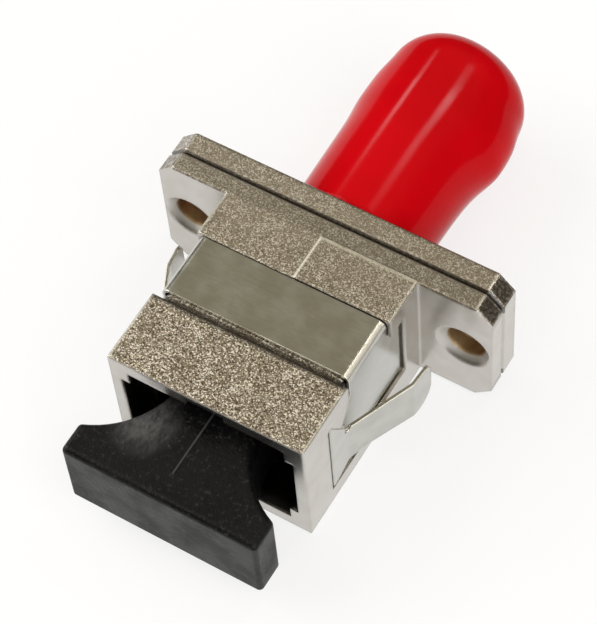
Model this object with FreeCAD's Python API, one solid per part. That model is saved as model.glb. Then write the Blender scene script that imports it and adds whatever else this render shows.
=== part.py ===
import FreeCAD, Part
import math
import os

from FreeCAD import Vector

# Hybrid fibre-optic adapter: a rectangular latch port in front of a two-plate panel flange and a
# round bayonet barrel behind it, with a spring clip, a moulded port plug and a soft barrel cap.
# Millimetres. Y follows the light path from the plug to the cap, X is the width and Z is up.
# The origin is on the light path, in the plane of the flange face that meets the panel.

# Flange plates
FLANGE_HEIGHT = 9.15
FLANGE_CORNER = 1.0          # bevel across each corner of the outline
FRONT_PLATE = 1.35           # thickness of the plate cast with the port body
REAR_PLATE = 1.5             # thickness of the plate cast with the barrel
JOINT_BEVEL = 0.13           # bevel on each plate along the joint, together a vee groove
RIM_BEVEL = 0.08             # edge break on the outer rims of the plates
HOLE_SPACING = 18.3
HOLE_DIAMETER = 2.35
HOLE_RIM = 0.675             # metal between a hole and the end of the flange
SINK_DIAMETER = 3.45
SINK_DEPTH = 0.5

# Port body
BODY_WIDTH = 12.6
BODY_HEIGHT = 9.4
BODY_LENGTH = 12.45          # from the panel face to the port mouth
BODY_EDGE = 0.07             # rounding of the long edges and of the mouth's outer edges
FRONT_BLOCK = 4.8            # full-height block in front of the clip
BLOCK_ROUND = 0.3            # rounding of that block's edge above the clip
REAR_BLOCK = 3.05            # full-height block between the clip and the flange
LEDGE_UNDERSIDE = 3.2        # height of the ledge that overhangs the clip's rear tabs
PORT_WIDTH = 10.0
PORT_HEIGHT = 7.5
MOUTH_WIDTH = 11.1           # shallow side reliefs at the mouth leave an ear in each corner
MOUTH_HEIGHT = 5.6
MOUTH_DEPTH = 2.0
KEYWAY_WIDTH = 2.4
KEYWAY_DEPTH = 0.5
KEYWAY_LENGTH = 7.0
SEAT_WIDTH = 10.8            # pocket for the latch plate, open towards the joint
SEAT_HEIGHT = 8.2
SEAT_DEPTH = 1.5
SPIGOT_LENGTH = 0.4          # boss on the rear plate that locates it in that pocket
FIT_GAP = 0.04               # clearance between parts that are assembled once

# Spring clip
SHEET = 0.2
LEAF_GAP = 0.02              # space between the two leaves of the folded-back fingers
CLIP_GAP = 0.04              # clearance between the clip and the body
CLIP_SINK = 0.08             # how far the clip's top lies below the body's top
CLIP_FLUSH = 0.01            # how far a finger's root lies below the body's side
BAND_FRONT_GAP = 0.47        # open slot between the front block and the clip's band
BAND_REAR_GAP = 0.07
CLIP_BEND = 0.5              # outside radius where the band turns down the sides
LEG_BOTTOM = -2.15
LEG_STANDOFF = 1.85          # from the panel face to the rear edge of the legs
POCKET_GAP = 0.25            # open slot round the rear and the bottom of each leg
ROOT_REACH = 2.2             # how far the finger's fold lies ahead of the front block's rear face
ROOT_TOP = 3.05
ROOT_BOTTOM = -3.4
ROOT_TAPER = 2.5             # length of the root's lower slope
NOTCH_REACH = 0.95           # how far the meeting of the two slopes above the root lies ahead
NOTCH_HEIGHT = 1.45
LEG_SHOULDER = 2.85          # height where the leg's front edge begins to slope down to the root
ROOT_EASE = 0.04             # clearance above the root
ROOT_SLOT = 0.1              # open slot in front of the root
ROOT_POCKET = 4.35           # length of the lower pocket behind the fold
BEND_SETBACK = 1.8           # from the fold to where the finger leaves the side of the body
ELBOW_STANDOFF = 3.95        # from the panel face to the finger's elbow
TIP_STANDOFF = 2.3           # from the panel face to the finger's tip
FINGER_TOP = 0.55            # upper edge at the bend
FINGER_RISE = 0.45           # how much higher that edge is at the tip
FINGER_BOTTOM = -2.5         # lower edge between the bend and the elbow
FINGER_SPREAD = 1.94         # how far the elbow stands out from the root
TIP_SPREAD = 0.16            # how far the tip stands out from the elbow
FINGER_BEND_RADIUS = 0.7     # on the outside of each bend
TIP_ROUND_BELOW = 1.4
TIP_ROUND_ABOVE = 0.5
RELIEF_DIAMETER = 0.5        # round relief where the finger's upper edge begins

# Barrel
BARREL_DIAMETER = 7.0
BARREL_LENGTH = 12.0         # beyond the rear plate
BARREL_BORE = 5.6
BARREL_WEB = 1.4             # solid length of the barrel behind the plate, round the holder
BARREL_EDGE = 0.3
BARREL_ROOT = 0.2            # rounding where the barrel meets the plate
LUG_SPAN = 8.3
LUG_DIAMETER = 1.6
LUG_SETBACK = 2.4            # from the barrel's end to the centre of the lugs
KEY_SLOT_WIDTH = 1.8
KEY_SLOT_LENGTH = 4.4

# Alignment parts
FERRULE_DIAMETER = 2.5
SLEEVE_WALL = 0.35
SLEEVE_LENGTH = 11.4
SLEEVE_SLIT = 0.35
SLEEVE_PLAY = 0.05           # round the sleeve in its tubes
SLEEVE_END_PLAY = 0.1
TUBE_WALL = 0.45
TUBE_LIP = 0.5
LIP_EASE = 0.1               # how much wider the lips are than the ferrule
HOLDER_FLANGE_DIAMETER = 6.1
HOLDER_FLANGE = 0.95
ARM_GAP = 0.45               # room for a latch arm to spring outwards
ARM_THICKNESS = 1.0
ARM_HEIGHT = 4.4
ARM_LENGTH = 7.05            # from the latch plate to the tip of the hooks
HOOK_LEAD = 0.5              # length of the sloped lead-in at the tip
HOOK_FLAT = 0.4
HOOK_BACK = 0.6
HOOK_GAP = 0.15              # between a hook and the plug's tongue

# Port plug
PLUG_WIDTH = 12.6
PLUG_TOP = 2.5
PLUG_BOTTOM = -2.8
HEAD_DEPTH = 1.95
PLUG_REACH = 5.22            # from the mouth to the front of the plug's head
NECK_RADIUS = 5.5            # finger scoop on each side of the neck
TONGUE_WIDTH = 5.4
TUBE_END_GAP = 0.45          # between the tongue's end and the latch tube
PLUG_CORNER = 0.3
PLUG_EDGE = 0.4              # rounding along the top
PLUG_LOWER_EDGE = 0.12       # rounding along the bottom
GUIDE_GAP = 0.1              # above and below the guide block in the port
GUIDE_FRONT = 2.3            # from the mouth to the guide block
GUIDE_LENGTH = 2.7
SEAM_WIDTH = 0.12            # moulding seam along the top of the plug
SEAM_HEIGHT = 0.05
SEAM_SETBACK = 0.25          # from the edge of the head's shoulder line

# Barrel cap
CAP_EASE = 0.1
CAP_WALL = 0.58
CAP_THIN = 0.28              # wall where it is stretched over the lugs
CAP_SLEW = 0.24              # sideways lean of the stretched part
CAP_SLEW_LENGTH = 0.95       # how gradually that lean begins
CAP_MOUTH_GAP = 0.1
CAP_LIP = 0.12               # how much the mouth flares
CAP_LIP_LENGTH = 0.7
CAP_FLARE = 0.16             # how much the cap widens towards its closed end
CAP_STRETCH = 2.05           # half length of the bulge over the lugs
CAP_KNEE = 4                 # how abruptly the bulge begins and ends
CAP_CROWN = 2.97             # from the barrel's end to the outside of the crown
CROWN_ROUNDING = 2.7         # length over which the crown closes
CROWN_FLAT = 0.26            # share of the crown's radius left flat at the tip
CAP_STATIONS = 14            # sections along the straight length of the cap
CROWN_STATIONS = 8           # sections round the crown
OVAL_POINTS = 16             # places round each section

# Sizes that follow from those above
BODY_SIDE = BODY_WIDTH / 2
BODY_TOP = BODY_HEIGHT / 2
FLANGE_WIDTH = HOLE_SPACING + HOLE_DIAMETER + 2 * HOLE_RIM
FLANGE_BACK = FRONT_PLATE + REAR_PLATE
BAND_RECESS_FRONT = FRONT_BLOCK - BODY_LENGTH
LATCH_PLANE = FRONT_PLATE - SPIGOT_LENGTH
LEAF_OUTSIDE = BODY_SIDE - CLIP_FLUSH
LEG_OUTSIDE = LEAF_OUTSIDE - SHEET - LEAF_GAP
LEG_INSIDE = LEG_OUTSIDE - SHEET
POCKET_FLOOR = LEG_INSIDE - CLIP_GAP
CLIP_TOP = BODY_TOP - CLIP_SINK
LEG_REAR = -LEG_STANDOFF
ROOT_FRONT = BAND_RECESS_FRONT - ROOT_REACH
NOTCH_Y = BAND_RECESS_FRONT - NOTCH_REACH
FINGER_BEND = ROOT_FRONT + BEND_SETBACK
FINGER_ELBOW = -ELBOW_STANDOFF
FINGER_TIP = -TIP_STANDOFF
BAND_FRONT = BAND_RECESS_FRONT + BAND_FRONT_GAP
BAND_REAR = -REAR_BLOCK - BAND_REAR_GAP
FOLD_RADIUS = SHEET + LEAF_GAP / 2
FOLD_Y = ROOT_FRONT + FOLD_RADIUS
TUBE_INSIDE = FERRULE_DIAMETER / 2 + SLEEVE_WALL + SLEEVE_PLAY
TUBE_OUTSIDE = TUBE_INSIDE + TUBE_WALL
TUBE_REACH = SLEEVE_LENGTH / 2 + SLEEVE_END_PLAY + TUBE_LIP
BARREL_END = FLANGE_BACK + BARREL_LENGTH
LUG_Y = BARREL_END - LUG_SETBACK
PLUG_FRONT = -BODY_LENGTH - PLUG_REACH
CAP_MOUTH = FLANGE_BACK + CAP_MOUTH_GAP
CAP_BORE = BARREL_DIAMETER / 2 + CAP_EASE
CAP_TIP = BARREL_END + CAP_CROWN
CAP_SHOULDER = CAP_TIP - CROWN_ROUNDING
TONGUE_END = LATCH_PLANE - TUBE_REACH - TUBE_END_GAP
MARGIN = 1.0                 # how far cutting tools run past the faces they open
NEAR = 0.01                  # places closer than this count as one
PARALLEL = 0.999             # directions whose dot product is over this count as one


def box(x, y, z):
    """Block between the low and high value given for each axis."""
    corner = Vector(x[0], y[0], z[0])
    return Part.makeBox(x[1] - x[0], y[1] - y[0], z[1] - z[0], corner)


def centred(width, y, height):
    """Block centred on the light path, between two places along it."""
    return box((-width / 2, width / 2), y, (-height / 2, height / 2))


def rod(radius, start, end, x=0.0):
    """Round bar along Y."""
    return Part.makeCylinder(radius, end - start, Vector(x, start, 0), Vector(0, 1, 0))


def tube(outside, inside, start, end):
    """Round tube along Y."""
    return rod(outside, start, end).cut(rod(inside, start - MARGIN, end + MARGIN))


def side_prism(outline, x):
    """Outline of (y, z) points drawn on the side of the body, run between two widths."""
    points = [Vector(x[0], y, z) for y, z in outline]
    face = Part.Face(Part.makePolygon(points + points[:1]))
    return face.extrude(Vector(x[1] - x[0], 0, 0))


def plan_prism(outline, z):
    """Outline of (x, y) points seen from above, run between two heights."""
    points = [Vector(x, y, z[0]) for x, y in outline]
    face = Part.Face(Part.makePolygon(points + points[:1]))
    return face.extrude(Vector(0, 0, z[1] - z[0]))


def both_sides(shape):
    """A shape on the right of the part and its mirror image on the left."""
    return [shape, shape.mirror(Vector(0, 0, 0), Vector(1, 0, 0))]


def edges_along(shape, axis):
    """Straight edges of a shape that run along one axis."""
    straight = [edge for edge in shape.Edges if isinstance(edge.Curve, Part.Line)]
    return [edge for edge in straight if abs(edge.tangentAt(edge.FirstParameter).dot(axis)) > PARALLEL]


def edges_at(shape, axis, x=None, y=None, z=None):
    """Edges along one axis that start at each of the coordinates given."""
    chosen = []
    for edge in edges_along(shape, axis):
        place = edge.Vertexes[0].Point
        wanted = [(place.x, x), (place.y, y), (place.z, z)]
        if all(value is None or abs(here - value) < NEAR for here, value in wanted):
            chosen.append(edge)
    return chosen


def flange_outline(y, inset):
    """Closed wire of the bevelled flange outline at one place along Y."""
    w = FLANGE_WIDTH / 2 - inset
    h = FLANGE_HEIGHT / 2 - inset
    c = FLANGE_CORNER
    right = [(w - c, -h), (w, c - h), (w, h - c), (w - c, h)]
    left = [(-x, z) for x, z in reversed(right)]
    points = [Vector(x, y, z) for x, z in right + left]
    return Part.makePolygon(points + points[:1])


def flange_plate(joint, rim):
    """Plate between the joint plane and its outer rim, bevelled round both faces."""
    step = 1 if rim > joint else -1
    stations = [
        (joint, JOINT_BEVEL),
        (joint + step * JOINT_BEVEL, 0.0),
        (rim - step * RIM_BEVEL, 0.0),
        (rim, RIM_BEVEL),
    ]
    wires = [flange_outline(y, inset) for y, inset in stations]
    return Part.makeLoft(wires, True, True)


def flange_holes():
    """Through holes for the two panel screws, sunk on the panel side."""
    tools = []
    for side in (-1, 1):
        x = side * HOLE_SPACING / 2
        tools.append(rod(HOLE_DIAMETER / 2, -MARGIN, FLANGE_BACK + MARGIN, x))
        face = Vector(x, 0, 0)
        tools.append(Part.makeCone(SINK_DIAMETER / 2, HOLE_DIAMETER / 2, SINK_DEPTH, face, Vector(0, 1, 0)))
    return tools


def clip_pocket():
    """Cutting tool for the right-hand pocket that takes a leg and the root of its finger."""
    front = ROOT_FRONT - ROOT_SLOT
    rear = LEG_REAR + POCKET_GAP
    floor = LEG_BOTTOM - POCKET_GAP
    above = BODY_TOP + MARGIN
    outline = [
        (BAND_RECESS_FRONT, above),
        (BAND_RECESS_FRONT, LEG_SHOULDER + ROOT_EASE),
        (NOTCH_Y, NOTCH_HEIGHT + ROOT_EASE),
        (FOLD_Y, ROOT_TOP + ROOT_EASE),
        (front, ROOT_TOP + ROOT_EASE),
        (front, ROOT_BOTTOM - CLIP_GAP),
        (ROOT_FRONT + ROOT_POCKET, ROOT_BOTTOM - CLIP_GAP),
        (ROOT_FRONT + ROOT_POCKET, floor),
        (rear, floor),
        (rear, LEDGE_UNDERSIDE),
        (-REAR_BLOCK, LEDGE_UNDERSIDE),
        (-REAR_BLOCK, above),
    ]
    return side_prism(outline, (POCKET_FLOOR, BODY_SIDE + MARGIN))


def band_recess():
    """Cutting tool for the rounded saddle under the clip's band."""
    y = (BAND_RECESS_FRONT, -REAR_BLOCK)
    saddle = rounded_arch(POCKET_FLOOR, CLIP_TOP - SHEET - CLIP_GAP, CLIP_BEND, y)
    return box((-BODY_WIDTH, BODY_WIDTH), y, (LEDGE_UNDERSIDE, BODY_TOP + MARGIN)).cut(saddle)


def block_round():
    """Cutting tool that rounds the front block's edge above the clip."""
    y = BAND_RECESS_FRONT - BLOCK_ROUND
    z = BODY_TOP - BLOCK_ROUND
    corner = box((-BODY_WIDTH, BODY_WIDTH), (y, BAND_RECESS_FRONT + NEAR), (z, BODY_TOP + MARGIN))
    bar = Part.makeCylinder(BLOCK_ROUND, 2 * BODY_WIDTH, Vector(-BODY_WIDTH, y, z), Vector(1, 0, 0))
    return corner.cut(bar)


def sc_housing():
    """Port body and front flange plate, cast as one piece."""
    body = centred(BODY_WIDTH, (-BODY_LENGTH, RIM_BEVEL), BODY_HEIGHT)
    mouth_edges = [e for e in body.Edges if all(v.Point.y < 0 for v in e.Vertexes)]
    body = body.makeFillet(BODY_EDGE, edges_along(body, Vector(0, 1, 0)) + mouth_edges)
    housing = body.fuse(flange_plate(FRONT_PLATE, 0.0))
    port = centred(PORT_WIDTH, (-BODY_LENGTH - MARGIN, FRONT_PLATE + MARGIN), PORT_HEIGHT)
    mouth = centred(MOUTH_WIDTH, (-BODY_LENGTH - MARGIN, MOUTH_DEPTH - BODY_LENGTH), MOUTH_HEIGHT)
    keyway = box(
        (-KEYWAY_WIDTH / 2, KEYWAY_WIDTH / 2),
        (-BODY_LENGTH - MARGIN, KEYWAY_LENGTH - BODY_LENGTH),
        (0, PORT_HEIGHT / 2 + KEYWAY_DEPTH),
    )
    seat = centred(SEAT_WIDTH, (FRONT_PLATE - SEAT_DEPTH, FRONT_PLATE + MARGIN), SEAT_HEIGHT)
    lowered_half = box((-BODY_WIDTH, 0), (-REAR_BLOCK, MARGIN), (FLANGE_HEIGHT / 2, BODY_TOP + MARGIN))
    tools = [port, mouth, keyway, seat, lowered_half, band_recess(), block_round()]
    return housing.cut(tools + both_sides(clip_pocket()) + flange_holes()).removeSplitter()


def st_housing():
    """Bayonet barrel and rear flange plate, cast as one piece."""
    plate = flange_plate(FRONT_PLATE, FLANGE_BACK)
    spigot_width = SEAT_WIDTH - 2 * FIT_GAP
    spigot_height = SEAT_HEIGHT - 2 * FIT_GAP
    spigot = centred(spigot_width, (LATCH_PLANE, FLANGE_BACK - RIM_BEVEL), spigot_height)
    radius = BARREL_DIAMETER / 2
    profile = [
        (0, LATCH_PLANE + FIT_GAP),
        (radius, LATCH_PLANE + FIT_GAP),
        (radius, FLANGE_BACK - RIM_BEVEL),
        (radius + BARREL_ROOT, FLANGE_BACK - RIM_BEVEL),
        (radius + BARREL_ROOT, FLANGE_BACK),
        (radius, FLANGE_BACK + BARREL_ROOT),
        (radius, BARREL_END - BARREL_EDGE),
        (radius - BARREL_EDGE, BARREL_END),
        (0, BARREL_END),
    ]
    barrel = turned(profile)
    lugs = Part.makeCylinder(LUG_DIAMETER / 2, LUG_SPAN, Vector(-LUG_SPAN / 2, LUG_Y, 0), Vector(1, 0, 0))
    housing = plate.fuse([spigot, barrel, lugs])
    web_end = FLANGE_BACK + BARREL_WEB
    bore = rod(BARREL_BORE / 2, web_end, BARREL_END + MARGIN)
    passage = rod(TUBE_OUTSIDE + FIT_GAP, LATCH_PLANE - MARGIN, web_end + MARGIN)
    holder_seat = rod(
        HOLDER_FLANGE_DIAMETER / 2 + FIT_GAP, LATCH_PLANE - MARGIN, LATCH_PLANE + HOLDER_FLANGE + FIT_GAP
    )
    key_slot = box(
        (-KEY_SLOT_WIDTH / 2, KEY_SLOT_WIDTH / 2),
        (BARREL_END - KEY_SLOT_LENGTH, BARREL_END + MARGIN),
        (0, BARREL_DIAMETER),
    )
    return housing.cut([bore, passage, holder_seat, key_slot] + flange_holes()).removeSplitter()


def turned(profile):
    """Solid of revolution about the light path from (radius, y) points."""
    points = [Vector(r, y, 0) for r, y in profile]
    face = Part.Face(Part.makePolygon(points + points[:1]))
    return face.revolve(Vector(0, 0, 0), Vector(0, 1, 0), 360)


def clip_band():
    """Folded strip over the top of the body, with a leg down each side."""
    outside = rounded_arch(LEG_OUTSIDE, CLIP_TOP, CLIP_BEND, (BAND_FRONT, BAND_REAR))
    inside = rounded_arch(LEG_INSIDE, CLIP_TOP - SHEET, CLIP_BEND - SHEET, (BAND_FRONT, BAND_REAR))
    return outside.cut(inside)


def rounded_arch(half_width, top, radius, y):
    """Block that rises from the foot of the clip's legs, rounded along its two upper edges."""
    block = box((-half_width, half_width), y, (LEG_BOTTOM, top))
    upper = [e for e in edges_along(block, Vector(0, 1, 0)) if e.Vertexes[0].Point.z > 0]
    return block.makeFillet(radius, upper)


def clip_leg():
    """Inner leaf of the right-hand side: the leg, its rear tab and the lead to the front fold."""
    outline = [
        (FOLD_Y, ROOT_TOP),
        (NOTCH_Y, NOTCH_HEIGHT),
        (BAND_FRONT, LEG_SHOULDER),
        (BAND_REAR, LEDGE_UNDERSIDE - CLIP_GAP),
        (LEG_REAR, LEDGE_UNDERSIDE - CLIP_GAP),
        (LEG_REAR, LEG_BOTTOM),
        (FOLD_Y, LEG_BOTTOM),
    ]
    return side_prism(outline, (LEG_INSIDE, LEG_OUTSIDE))


def clip_fold():
    """Closed hem that joins the inner leaf to the finger at the front of the root."""
    middle = LEAF_OUTSIDE - FOLD_RADIUS
    height = ROOT_TOP - ROOT_BOTTOM
    hem = Part.makeCylinder(FOLD_RADIUS, height, Vector(middle, FOLD_Y, ROOT_BOTTOM))
    front = box((middle - MARGIN, middle + MARGIN), (ROOT_FRONT - MARGIN, FOLD_Y), (ROOT_BOTTOM, ROOT_TOP))
    return hem.common(front)


def finger_plan():
    """Finger seen from above as a strip of sheet: flat root, outward run and straightened tip."""
    elbow_x = LEAF_OUTSIDE + FINGER_SPREAD
    tip_slope = TIP_SPREAD / (FINGER_TIP - FINGER_ELBOW)
    line = [
        Vector(LEAF_OUTSIDE, FOLD_Y, 0),
        Vector(LEAF_OUTSIDE, FINGER_BEND, 0),
        Vector(elbow_x, FINGER_ELBOW, 0),
        Vector(elbow_x + TIP_SPREAD + tip_slope * MARGIN, FINGER_TIP + MARGIN, 0),
    ]
    runs = [(b - a).normalize() for a, b in zip(line, line[1:])]
    inward = [Vector(-run.y, run.x, 0) for run in runs]
    offsets = [inward[0]]
    for before, after in zip(inward, inward[1:]):
        middle = (before + after).normalize()
        offsets.append(middle * (1 / middle.dot(before)))
    offsets.append(inward[-1])
    back = [point + offset * SHEET for point, offset in zip(line, offsets)]
    outline = [(p.x, p.y) for p in line + back[::-1]]
    strip = plan_prism(outline, (ROOT_BOTTOM - MARGIN, ROOT_TOP + MARGIN))
    small = FINGER_BEND_RADIUS - SHEET
    for place, radius in (
        (line[1], small),
        (back[1], FINGER_BEND_RADIUS),
        (line[2], FINGER_BEND_RADIUS),
        (back[2], small),
    ):
        strip = strip.makeFillet(radius, edges_at(strip, Vector(0, 0, 1), x=place.x, y=place.y))
    return strip


def finger_side():
    """Finger seen from the side: wide root, even run and a tip rounded off below."""
    outline = [
        (FOLD_Y, ROOT_TOP),
        (FINGER_BEND, FINGER_TOP),
        (FINGER_TIP, FINGER_TOP + FINGER_RISE),
        (FINGER_TIP, FINGER_BOTTOM),
        (FOLD_Y + ROOT_TAPER, FINGER_BOTTOM),
        (FOLD_Y, ROOT_BOTTOM),
    ]
    block = side_prism(outline, (BODY_SIDE - MARGIN, BODY_SIDE + FINGER_SPREAD + TIP_SPREAD + MARGIN))
    across = Vector(1, 0, 0)
    block = block.makeFillet(TIP_ROUND_BELOW, edges_at(block, across, y=FINGER_TIP, z=FINGER_BOTTOM))
    upper = edges_at(block, across, y=FINGER_TIP, z=FINGER_TOP + FINGER_RISE)
    return block.makeFillet(TIP_ROUND_ABOVE, upper)


def mounting_clip():
    """Spring clip folded from one sheet: band, two legs and two folded-back fingers."""
    relief_start = Vector(LEG_OUTSIDE + LEAF_GAP / 2, FINGER_BEND, FINGER_TOP)
    relief = Part.makeCylinder(RELIEF_DIAMETER / 2, SHEET + MARGIN, relief_start, Vector(1, 0, 0))
    finger = finger_plan().common(finger_side()).cut(relief)
    side = clip_leg().fuse([clip_fold(), finger])
    return clip_band().fuse(both_sides(side)).removeSplitter()


def latch_insert():
    """Moulded latch: plate in the seat, two hooked arms and the front half of the sleeve's tube."""
    thickness = SEAT_DEPTH - SPIGOT_LENGTH - FIT_GAP
    front = LATCH_PLANE - thickness
    plate = centred(SEAT_WIDTH - 2 * FIT_GAP, (front, LATCH_PLANE), SEAT_HEIGHT - 2 * FIT_GAP)
    barrel = rod(TUBE_OUTSIDE, LATCH_PLANE - TUBE_REACH, LATCH_PLANE)
    outside = PORT_WIDTH / 2 - ARM_GAP
    inside = outside - ARM_THICKNESS
    hook = TONGUE_WIDTH / 2 + HOOK_GAP
    tip = front - ARM_LENGTH
    outline = [
        (inside, LATCH_PLANE),
        (outside, LATCH_PLANE),
        (outside, tip),
        (inside, tip),
        (hook, tip + HOOK_LEAD),
        (hook, tip + HOOK_LEAD + HOOK_FLAT),
        (inside, tip + HOOK_LEAD + HOOK_FLAT + HOOK_BACK),
    ]
    arm = plan_prism(outline, (-ARM_HEIGHT / 2, ARM_HEIGHT / 2))
    insert = plate.fuse([barrel] + both_sides(arm))
    lip = FERRULE_DIAMETER / 2 + LIP_EASE
    bores = [
        rod(TUBE_INSIDE, LATCH_PLANE - TUBE_REACH + TUBE_LIP, LATCH_PLANE + MARGIN),
        rod(lip, LATCH_PLANE - TUBE_REACH - MARGIN, LATCH_PLANE),
    ]
    return insert.cut(bores).removeSplitter()


def sleeve_holder():
    """Flanged tube that holds the rear half of the sleeve inside the barrel."""
    end = LATCH_PLANE + TUBE_REACH
    holder = rod(TUBE_OUTSIDE, LATCH_PLANE, end)
    holder = holder.fuse(rod(HOLDER_FLANGE_DIAMETER / 2, LATCH_PLANE, LATCH_PLANE + HOLDER_FLANGE))
    lip = FERRULE_DIAMETER / 2 + LIP_EASE
    bores = [rod(TUBE_INSIDE, LATCH_PLANE - MARGIN, end - TUBE_LIP), rod(lip, LATCH_PLANE, end + MARGIN)]
    return holder.cut(bores).removeSplitter()


def alignment_sleeve():
    """Split ceramic sleeve that lines up the two ferrules."""
    start = LATCH_PLANE - SLEEVE_LENGTH / 2
    end = LATCH_PLANE + SLEEVE_LENGTH / 2
    inside = FERRULE_DIAMETER / 2
    sleeve = tube(inside + SLEEVE_WALL, inside, start, end)
    slit = box((-SLEEVE_SLIT / 2, SLEEVE_SLIT / 2), (start - MARGIN, end + MARGIN), (0, FERRULE_DIAMETER))
    return sleeve.cut(slit)


def plug_plan():
    """Plug seen from above: straight-sided head, scooped neck and straight tongue."""
    half_head = PLUG_WIDTH / 2
    half_tongue = TONGUE_WIDTH / 2
    shoulder = PLUG_FRONT + HEAD_DEPTH
    centre_x = half_tongue + NECK_RADIUS
    rise = math.sqrt(NECK_RADIUS ** 2 - (centre_x - half_head) ** 2)
    neck_end = shoulder + rise
    middle = math.pi + math.asin(rise / NECK_RADIUS) / 2
    scoop_x = centre_x + NECK_RADIUS * math.cos(middle)
    scoop_y = neck_end + NECK_RADIUS * math.sin(middle)

    def place(x, y):
        return Vector(x, y, PLUG_BOTTOM)

    right = [
        place(half_head, PLUG_FRONT),
        place(half_head, shoulder),
        place(half_tongue, neck_end),
        place(half_tongue, TONGUE_END),
    ]
    left = [place(-p.x, p.y) for p in right]
    edges = [
        Part.LineSegment(left[0], right[0]).toShape(),
        Part.LineSegment(right[0], right[1]).toShape(),
        Part.Arc(right[1], place(scoop_x, scoop_y), right[2]).toShape(),
        Part.LineSegment(right[2], right[3]).toShape(),
        Part.LineSegment(right[3], left[3]).toShape(),
        Part.LineSegment(left[3], left[2]).toShape(),
        Part.Arc(left[2], place(-scoop_x, scoop_y), left[1]).toShape(),
        Part.LineSegment(left[1], left[0]).toShape(),
    ]
    return Part.Face(Part.Wire(edges))


def rim_edges(shape, z):
    """Edges of a shape that lie in one level plane."""
    return [edge for edge in shape.Edges if all(abs(v.Point.z - z) < NEAR for v in edge.Vertexes)]


def sc_dust_plug():
    """Moulded port plug with a wide grip, a tongue between the latch hooks and a guide block."""
    plug = plug_plan().extrude(Vector(0, 0, PLUG_TOP - PLUG_BOTTOM))
    upright = Vector(0, 0, 1)
    for side in (-1, 1):
        plug = plug.makeFillet(PLUG_CORNER, edges_at(plug, upright, x=side * PLUG_WIDTH / 2))
    plug = plug.makeFillet(PLUG_EDGE, rim_edges(plug, PLUG_TOP))
    plug = plug.makeFillet(PLUG_LOWER_EDGE, rim_edges(plug, PLUG_BOTTOM))
    guide_start = GUIDE_FRONT - BODY_LENGTH
    guide_height = PORT_HEIGHT - 2 * GUIDE_GAP
    guide = centred(TONGUE_WIDTH, (guide_start, guide_start + GUIDE_LENGTH), guide_height)
    guide = guide.makeChamfer(PLUG_EDGE, edges_along(guide, Vector(1, 0, 0)))
    seam = box(
        (-SEAM_WIDTH / 2, SEAM_WIDTH / 2),
        (PLUG_FRONT + HEAD_DEPTH - SEAM_SETBACK, guide_start),
        (0, PLUG_TOP + SEAM_HEIGHT),
    )
    return plug.fuse([guide, seam]).removeSplitter()


def cap_section(y, share):
    """Section of the cap's outside: flared at the mouth, widest over the lugs, closing by a share."""
    lip = CAP_LIP * math.exp(-((y - CAP_MOUTH) / CAP_LIP_LENGTH) ** 2)
    widening = CAP_FLARE * min(1.0, (y - CAP_MOUTH) / (LUG_Y - CAP_MOUTH))
    height = CAP_BORE + CAP_WALL + lip + widening
    reach = LUG_SPAN / 2 + CAP_EASE + CAP_THIN + CAP_SLEW - (CAP_BORE + CAP_WALL + CAP_FLARE)
    width = height + reach / (1 + ((y - LUG_Y) / CAP_STRETCH) ** CAP_KNEE)
    lean = CAP_SLEW / (1 + math.exp((LUG_Y - CAP_STRETCH - y) / CAP_SLEW_LENGTH))
    return oval(lean, y, width * share, height * share)


def oval(x, y, half_width, half_height):
    """Closed smooth wire of an oval section across the light path."""
    points = []
    for step in range(OVAL_POINTS):
        angle = 2 * math.pi * step / OVAL_POINTS
        points.append(Vector(x + half_width * math.cos(angle), y, half_height * math.sin(angle)))
    curve = Part.BSplineCurve()
    curve.interpolate(Points=points, PeriodicFlag=True)
    return Part.Wire(curve.toShape())


def cap_outside():
    """Solid inside the cap's outer skin, ruled from section to section."""
    sections = []
    for step in range(CAP_STATIONS):
        sections.append(cap_section(CAP_MOUTH + (CAP_SHOULDER - CAP_MOUTH) * step / CAP_STATIONS, 1.0))
    for step in range(CROWN_STATIONS + 1):
        angle = math.pi / 2 * step / CROWN_STATIONS
        share = CROWN_FLAT + (1 - CROWN_FLAT) * math.cos(angle)
        sections.append(cap_section(CAP_SHOULDER + CROWN_ROUNDING * math.sin(angle), share))
    return Part.makeLoft(sections, True, True)


def st_dust_cap():
    """Soft cap over the barrel, stretched over the two lugs."""
    along = Vector(0, 1, 0)
    bore = rod(CAP_BORE, CAP_MOUTH - MARGIN, CAP_SHOULDER)
    flare = Part.makeCone(CAP_BORE + CAP_LIP, CAP_BORE, CAP_LIP_LENGTH, Vector(0, CAP_MOUTH, 0), along)
    depth = CROWN_ROUNDING - CAP_WALL
    dome = Part.makeCone(CAP_BORE, CAP_BORE - depth, depth, Vector(0, CAP_SHOULDER, 0), along)
    reach = LUG_SPAN / 2 + CAP_EASE
    lug_radius = LUG_DIAMETER / 2 + CAP_EASE
    lug_room = Part.makeCylinder(lug_radius, 2 * reach, Vector(-reach, LUG_Y, 0), Vector(1, 0, 0))
    return cap_outside().cut([bore, flare, dome, lug_room])


PARTS = {
    "sc_housing": sc_housing,
    "st_housing": st_housing,
    "mounting_clip": mounting_clip,
    "latch_insert": latch_insert,
    "sleeve_holder": sleeve_holder,
    "alignment_sleeve": alignment_sleeve,
    "sc_dust_plug": sc_dust_plug,
    "st_dust_cap": st_dust_cap,
}

os.makedirs("parts", exist_ok=True)
for node, build in PARTS.items():
    build().exportStep("parts/" + node + ".step")
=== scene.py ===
import logging
import math
from dataclasses import dataclass
from enum import Enum
from typing import Dict, List, Optional, Sequence, Tuple, Union

import bmesh
import bpy
from mathutils import Matrix, Vector


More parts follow.
